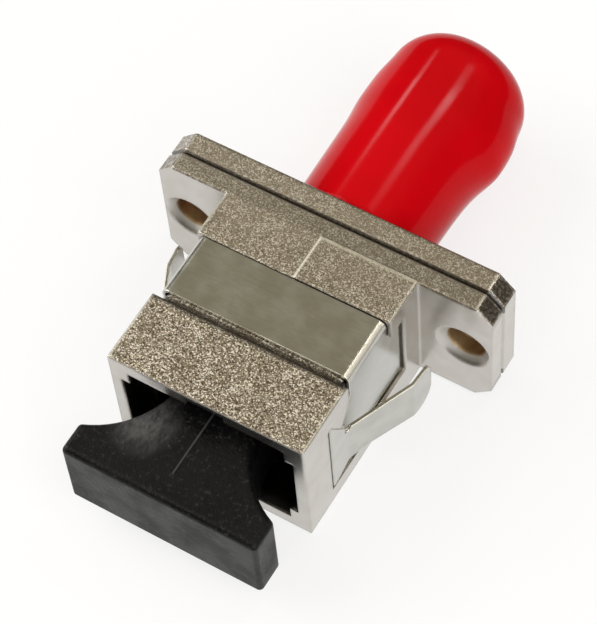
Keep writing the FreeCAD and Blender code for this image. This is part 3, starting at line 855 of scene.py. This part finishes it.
@dataclass(frozen=True)
class PlainMoulding(Finish):
    """Pale moulded plastic of the hidden latch."""

    title: str = "plain_moulding"
    pale: Colour = (0.62, 0.6, 0.54)
    warm: Colour = (0.54, 0.51, 0.44)
    roughness: Range = (0.42, 0.52)
    grain: float = 0.2 * MM
    grain_depth: float = 0.006 * MM
    flow_size: float = 9 * grain
    edge: float = 0.05 * MM

    def draw(self, sheet: NodeSheet) -> None:
        """Draws the moulding's fine grain and flow marks."""
        place = sheet.coordinates()
        flow = sheet.noise(place, self.flow_size)
        grain = sheet.noise(place, self.grain)
        sheet.surface(
            {
                "Base Color": sheet.blend(sheet.even(flow, 0.0, 1.0), self.warm, self.pale),
                "Roughness": sheet.even(grain, *self.roughness),
                "Normal": sheet.bump(grain, self.grain_depth, sheet.edge_normal(self.edge)),
            }
        )


@dataclass(frozen=True)
class TurnedBrass(Finish):
    """Turned metal of the sleeve holder, with tool rings round its axis."""

    title: str = "turned_brass"
    light: Colour = (0.72, 0.52, 0.24)
    dull: Colour = (0.6, 0.42, 0.18)
    roughness: Range = (0.22, 0.34)
    ring: float = 0.08 * MM
    ring_depth: float = 0.002 * MM
    ring_stretch: Place = (0.02, 1.0, 0.02)

    def draw(self, sheet: NodeSheet) -> None:
        """Draws the tool rings."""
        place = sheet.coordinates()
        rings = sheet.noise(sheet.stretched(place, self.ring_stretch), self.ring, detail=1.0)
        sheet.surface(
            {
                "Base Color": sheet.blend(sheet.even(rings, 0.0, 1.0), self.dull, self.light),
                "Metallic": 1.0,
                "Roughness": sheet.even(rings, *self.roughness),
                "Normal": sheet.bump(rings, self.ring_depth),
            }
        )


@dataclass(frozen=True)
class GroundCeramic(Finish):
    """Ground white ceramic of the split sleeve."""

    title: str = "ground_ceramic"
    white: Colour = (0.82, 0.81, 0.77)
    ivory: Colour = (0.76, 0.74, 0.68)
    roughness: Range = (0.16, 0.24)
    grain: float = 0.3 * MM
    grain_depth: float = 0.001 * MM

    def draw(self, sheet: NodeSheet) -> None:
        """Draws the faint clouding of the ceramic."""
        place = sheet.coordinates()
        clouds = sheet.noise(place, self.grain, detail=3.0)
        sheet.surface(
            {
                "Base Color": sheet.blend(sheet.even(clouds, 0.0, 1.0), self.ivory, self.white),
                "Roughness": sheet.even(clouds, *self.roughness),
                "Normal": sheet.bump(clouds, self.grain_depth),
            }
        )


def node_object(name: str) -> bpy.types.Object:
    """Returns the frame's object of one node."""
    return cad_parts[name]


def dress(name: str, finish: bpy.types.Material) -> None:
    """Gives a node of the frame its finish.

    Args:
        name: the node.
        finish: its material.
    """
    thing = node_object(name)
    thing.data.materials.clear()
    thing.data.materials.append(finish)
    LOG.info("%s dressed with %s", name, finish.name)


@dataclass
class AdapterBody:
    """The two castings that carry everything else."""

    castings: Tuple[str, ...] = ("sc_housing", "st_housing")
    nickel: CastNickel = CastNickel()

    def build(self) -> None:
        """Dresses both castings alike."""
        finish = self.nickel.material()
        for casting in self.castings:
            dress(casting, finish)


@dataclass
class MountingClip:
    """The folded spring clip."""

    node: str = "mounting_clip"
    sheet: SpringSheet = SpringSheet()

    def build(self) -> None:
        """Dresses the clip."""
        dress(self.node, self.sheet.material())


@dataclass
class AlignmentSet:
    """The latch, the sleeve and its holder inside the adapter."""

    latch: PlainMoulding = PlainMoulding()
    holder: TurnedBrass = TurnedBrass()
    sleeve: GroundCeramic = GroundCeramic()

    def build(self) -> None:
        """Dresses the three hidden pieces."""
        dress("latch_insert", self.latch.material())
        dress("sleeve_holder", self.holder.material())
        dress("alignment_sleeve", self.sleeve.material())


@dataclass
class PortPlug:
    """The moulded plug in the latch port."""

    node: str = "sc_dust_plug"
    plastic: MouldedBlack = MouldedBlack()

    def build(self) -> None:
        """Dresses the plug."""
        dress(self.node, self.plastic.material())


@dataclass
class BarrelCap:
    """The soft cap stretched over the barrel's two lugs; sizes in millimetres."""

    node: str = "st_dust_cap"
    mouth: float = 2.95
    crown: float = 17.82
    radius: float = 4.21
    wall: float = 0.58
    flare: float = 0.16
    lug_place: float = 12.45
    lug_reach: float = 4.77
    inner_reach: float = 4.25
    stretch: float = 2.05
    right_stretch: float = 2.2
    swell: float = 0.2
    swell_place: float = 11.9
    swell_below: float = 0.9
    swell_above: float = 2.6
    offset: float = 0.06
    slew: float = 0.18
    slew_length: float = 0.95
    lean_middle: float = 0.25
    lug_focus: float = 3.4
    knee: int = 4
    track: float = 0.13
    track_focus: float = 14.0
    crown_rounding: float = 2.6
    crown_flat: float = 0.3
    stations: int = 36
    crown_stations: int = 12
    turns: int = 120
    outer_rim: float = 0.3
    inner_rim: float = 0.08
    rim_segments: int = 4
    weld: float = 0.002
    mouth_margin: float = 0.001
    vinyl: DippedVinyl = DippedVinyl()

    def half_height(self, y: float, radius: float) -> float:
        """Gives the cap's half height at one place.

        Args:
            y: place along the light path.
            radius: radius of the skin at the mouth.

        Returns:
            Half of the skin's height there.
        """
        return radius + self.flare * min(1.0, (y - self.mouth) / (self.lug_place - self.mouth))

    def tightness(self, y: float, right: bool) -> float:
        """Gives how far the skin is drawn out towards a lug at one place.

        Args:
            y: place along the light path.
            right: whether it is the right-hand lug, where the skin sits lower on the barrel.

        Returns:
            Its share of the full draw, up to 1.
        """
        length = self.right_stretch if right and y < self.lug_place else self.stretch
        return 1.0 / (1.0 + ((y - self.lug_place) / length) ** self.knee)

    def swelling(self, y: float) -> float:
        """Returns how far the skin swells out over the right-hand lug at one place."""
        length = self.swell_below if y < self.swell_place else self.swell_above
        return self.swell * math.exp(-(((y - self.swell_place) / length) ** 2))

    def lug_track(self, y: float) -> float:
        """Returns how much room the skin leaves at one place for the left-hand lug to pass."""
        return self.track * (1.0 - self.tightness(y, False)) if y < self.lug_place else 0.0

    def lean(self, y: float) -> float:
        """Returns how far the skin leans to one side at one place."""
        return self.slew / (1.0 + math.exp((self.lug_place - self.stretch - y) / self.slew_length))

    def profile(self, radius: float, crown: float) -> List[Vector]:
        """Draws one skin's half section.

        Args:
            radius: radius at the mouth.
            crown: where the skin closes.

        Returns:
            Places from the mouth to the axis.
        """
        shoulder = self.crown - self.crown_rounding
        places = []
        for step in range(self.stations):
            y = self.mouth + (shoulder - self.mouth) * step / self.stations
            places.append(Vector((self.half_height(y, radius), y, 0.0)))
        for step in range(self.crown_stations + 1):
            angle = math.pi / 2 * step / self.crown_stations
            share = self.crown_flat + (1 - self.crown_flat) * math.cos(angle)
            y = shoulder + (crown - shoulder) * math.sin(angle)
            places.append(Vector((self.half_height(y, radius) * share, y, 0.0)))
        places.append(Vector((places[-1].x / 2, crown, 0.0)))
        places.append(Vector((0.0, crown, 0.0)))
        return places

    def shift(self, y: float, sideways: float, drawn: float) -> float:
        """Gives how far a place on the spun skin moves to fit over the lugs.

        Args:
            y: place along the light path.
            sideways: place across the skin, from -1 at the far left to 1 at the far right.
            drawn: how far the skin is drawn out over a lug.

        Returns:
            The move to the right.
        """
        pull = drawn * self.tightness(y, sideways > 0)
        if sideways > 0:
            pull += self.swelling(y)
        pull *= abs(sideways) ** self.lug_focus
        if sideways < 0:
            pull += self.lug_track(y) * abs(sideways) ** self.track_focus
        lean = self.lean(y) * (self.lean_middle + (1.0 - self.lean_middle) * abs(sideways))
        return math.copysign(pull, sideways) + lean + self.offset

    def skin(
        self, mesh: bmesh.types.BMesh, radius: float, crown: float, reach: float
    ) -> List[bmesh.types.BMEdge]:
        """Spins one skin of the cap and draws it out over the lugs.

        Args:
            mesh: the mesh that it joins.
            radius: radius at the mouth.
            crown: where the skin closes.
            reach: half width over the lugs.

        Returns:
            The loop of edges round the mouth.
        """
        before = set(mesh.verts)
        line = [mesh.verts.new(place * MM) for place in self.profile(radius, crown)]
        edges = [mesh.edges.new(pair) for pair in zip(line, line[1:])]
        bmesh.ops.spin(
            mesh,
            geom=line + edges,
            cent=(0.0, 0.0, 0.0),
            axis=(0.0, 1.0, 0.0),
            angle=2 * math.pi,
            steps=self.turns,
            use_merge=True,
        )
        made = [vert for vert in mesh.verts if vert not in before]
        bmesh.ops.remove_doubles(mesh, verts=made, dist=self.weld * MM)
        made = [vert for vert in mesh.verts if vert not in before]
        drawn = reach - radius - self.flare
        for vert in made:
            y = vert.co.y / MM
            height = self.half_height(y, radius) * MM
            vert.co.x += self.shift(y, vert.co.x / height, drawn) * MM
        low = (self.mouth + self.mouth_margin) * MM
        return [
            edge
            for edge in mesh.edges
            if edge.is_boundary and all(vert not in before and vert.co.y < low for vert in edge.verts)
        ]

    def build(self) -> None:
        """Models the cap as a closed wall with a rounded rim."""
        mesh = bmesh.new()
        outer = self.skin(mesh, self.radius, self.crown, self.lug_reach)
        inner = self.skin(mesh, self.radius - self.wall, self.crown - self.wall, self.inner_reach)
        bmesh.ops.bridge_loops(mesh, edges=outer + inner)
        bmesh.ops.recalc_face_normals(mesh, faces=mesh.faces)
        for loop, rim in ((outer, self.outer_rim), (inner, self.inner_rim)):
            bmesh.ops.bevel(
                mesh,
                geom=loop,
                offset=rim * MM,
                affect="EDGES",
                segments=self.rim_segments,
                profile=0.5,
                material=-1,
            )
        for face in mesh.faces:
            face.smooth = True
        data = bpy.data.meshes.new("barrel_cap")
        mesh.to_mesh(data)
        mesh.free()
        cap = bpy.data.objects.new("barrel_cap", data)
        bpy.context.scene.collection.objects.link(cap)
        self.dress(cap)

    def dress(self, cap: bpy.types.Object) -> None:
        """Gives the cap its vinyl and its place on the part.

        Args:
            cap: the cap's object.
        """
        cap.data.materials.append(self.vinyl.material())
        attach(cap, Body.CAP.value)
        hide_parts(self.node)
        LOG.info("%s stands for %s with %d faces", cap.name, self.node, len(cap.data.polygons))


@dataclass(frozen=True)
class PaleFloor(Finish):
    """Pale studio floor that reads as white and keeps a soft shadow."""

    title: str = "pale_floor"
    white: Colour = (0.9, 0.9, 0.9)
    glow: float = 0.76

    def draw(self, sheet: NodeSheet) -> None:
        """Draws the floor's matt white, with a white glow where it is seen directly or mirrored."""
        matt = sheet.add("ShaderNodeBsdfDiffuse", {"Color": self.white}).outputs[0]
        glow = sheet.add("ShaderNodeEmission", {"Color": WHITE, "Strength": 1.0}).outputs[0]
        seen = sheet.add("ShaderNodeMixShader", {0: self.glow, 1: matt, 2: glow}).outputs[0]
        rays = sheet.add("ShaderNodeLightPath").outputs
        direct = sheet.most(rays["Is Camera Ray"], rays["Is Glossy Ray"])
        direct = sheet.most(direct, rays["Is Transmission Ray"])
        shown = sheet.add("ShaderNodeMixShader", {0: direct, 1: matt, 2: seen}).outputs[0]
        output = sheet.add("ShaderNodeOutputMaterial")
        sheet.tree.links.new(shown, output.inputs["Surface"])


@dataclass(frozen=True)
class SoftBox:
    """One soft lamp, placed and aimed in millimetres."""

    name: str
    place: Place
    size: Tuple[float, float]
    power: float
    colour: Colour = WHITE
    along: Place = UP
    aim: Place = (0.0, 2.0, 0.0)

    def build(self) -> None:
        """Places the lamp with its long side the given way."""
        lamp = bpy.data.lights.new(self.name, "AREA")
        lamp.shape = "RECTANGLE"
        lamp.size = self.size[0] * MM
        lamp.size_y = self.size[1] * MM
        lamp.energy = self.power
        lamp.color = self.colour
        thing = bpy.data.objects.new(self.name, lamp)
        bpy.context.scene.collection.objects.link(thing)
        back = (Vector(self.place) - Vector(self.aim)).normalized()
        side = Vector(self.along).cross(back).normalized()
        axes = Matrix((side, back.cross(side), back)).transposed().to_4x4()
        thing.matrix_world = Matrix.Translation(Vector(self.place) * MM) @ axes


@dataclass
class Studio:
    """Floor, lamps and surroundings; lengths in millimetres."""

    floor_half: float = 900.0
    zenith: Colour = (0.53, 0.474, 0.364)
    dusk: Colour = (0.11, 0.1, 0.085)
    horizon: Range = (0.45, 0.78)
    lamps: Tuple[SoftBox, ...] = (
        SoftBox("key", (-380.0, -90.0, 250.0), (460.0, 460.0), 2.0),
        SoftBox("fill", (300.0, -120.0, 260.0), (380.0, 380.0), 1.25),
        SoftBox("left_streak", (-192.8, 161.5, 187.8), (28.0, 20.0), 0.031, along=(0.11, 0.86, -0.5)),
        SoftBox("right_streak", (68.2, 161.5, 262.6), (48.0, 20.0), 0.063, along=(-0.13, 0.9, -0.42)),
    )

    def build(self, low: float) -> None:
        """Builds the floor at the part's lowest point and lights the scene.

        Args:
            low: height of the floor, in metres.
        """
        self.floor(low)
        self.surroundings()
        for lamp in self.lamps:
            lamp.build()
        LOG.info("studio has %d lamps", len(self.lamps))

    def floor(self, low: float) -> None:
        """Lays the floor.

        Args:
            low: its height, in metres.
        """
        mesh = bmesh.new()
        bmesh.ops.create_grid(mesh, x_segments=1, y_segments=1, size=self.floor_half * MM)
        bmesh.ops.translate(mesh, verts=mesh.verts, vec=(0.0, 0.0, low))
        data = bpy.data.meshes.new("floor")
        mesh.to_mesh(data)
        mesh.free()
        data.materials.append(PaleFloor().material())
        floor = bpy.data.objects.new("floor", data)
        bpy.context.scene.collection.objects.link(floor)
        floor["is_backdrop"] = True

    def surroundings(self) -> None:
        """Gives the world a warm ceiling over a dark band, and white where it is seen directly."""
        world = bpy.data.worlds.new("studio")
        bpy.context.scene.world = world
        world.use_nodes = True
        sheet = NodeSheet(world.node_tree)
        direction = sheet.add("ShaderNodeTexCoord").outputs["Generated"]
        height = sheet.axes(direction)["Z"]
        sky = sheet.blend(sheet.rise(height, self.horizon), self.dusk, self.zenith)
        rays = sheet.add("ShaderNodeLightPath").outputs
        shown = sheet.blend(rays["Is Camera Ray"], sky, WHITE)
        background = sheet.add("ShaderNodeBackground", {"Color": shown, "Strength": 1.0})
        output = sheet.add("ShaderNodeOutputWorld")
        sheet.tree.links.new(background.outputs[0], output.inputs["Surface"])


@dataclass
class Viewpoint:
    """The camera, at the angle and distance of the photograph.

    Angles are in degrees, lengths in millimetres and places and sizes in the picture in pixels.
    """

    azimuth: float = 35.85
    elevation: float = 58.3
    roll: float = -5.84
    target: Place = (0.0, -2.65, 0.0)
    distance: float = 146.4
    focal_pixels: float = 2549.0
    picture_width: float = 597.0
    picture_height: float = 624.0
    target_pixel: Tuple[float, float] = (300.6, 315.4)
    sensor: float = 36.0
    clipping: Range = (1.0, 10000.0)

    def build(self) -> None:
        """Places the camera."""
        azimuth = math.radians(self.azimuth)
        elevation = math.radians(self.elevation)
        roll = math.radians(self.roll)
        back = Vector(
            (
                math.sin(azimuth) * math.cos(elevation),
                -math.cos(azimuth) * math.cos(elevation),
                math.sin(elevation),
            )
        )
        right = Vector(UP).cross(back).normalized()
        up = back.cross(right)
        turned_right = right * math.cos(roll) + up * math.sin(roll)
        turned_up = up * math.cos(roll) - right * math.sin(roll)
        lens = bpy.data.cameras.new("photo_view")
        lens.sensor_fit = "HORIZONTAL"
        lens.sensor_width = self.sensor
        lens.lens = self.focal_pixels / self.picture_width * self.sensor
        lens.shift_x = (self.picture_width / 2 - self.target_pixel[0]) / self.picture_width
        lens.shift_y = (self.target_pixel[1] - self.picture_height / 2) / self.picture_width
        lens.clip_start = self.clipping[0] * MM
        lens.clip_end = self.clipping[1] * MM
        thing = bpy.data.objects.new("photo_view", lens)
        bpy.context.scene.collection.objects.link(thing)
        axes = Matrix((turned_right, turned_up, back)).transposed().to_4x4()
        place = (Vector(self.target) + back * self.distance) * MM
        thing.matrix_world = Matrix.Translation(place) @ axes
        bpy.context.scene.camera = thing


def main() -> None:
    """Builds and dresses every sub-assembly, then the studio and the camera."""
    logging.basicConfig(level=logging.INFO, format="%(name)s: %(message)s")
    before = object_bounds()
    bpy.context.scene.view_settings.view_transform = "Standard"
    AdapterBody().build()
    MountingClip().build()
    AlignmentSet().build()
    PortPlug().build()
    BarrelCap().build()
    Studio().build(before[0].z)
    Viewpoint().build()


if __name__ == "__main__":
    main()
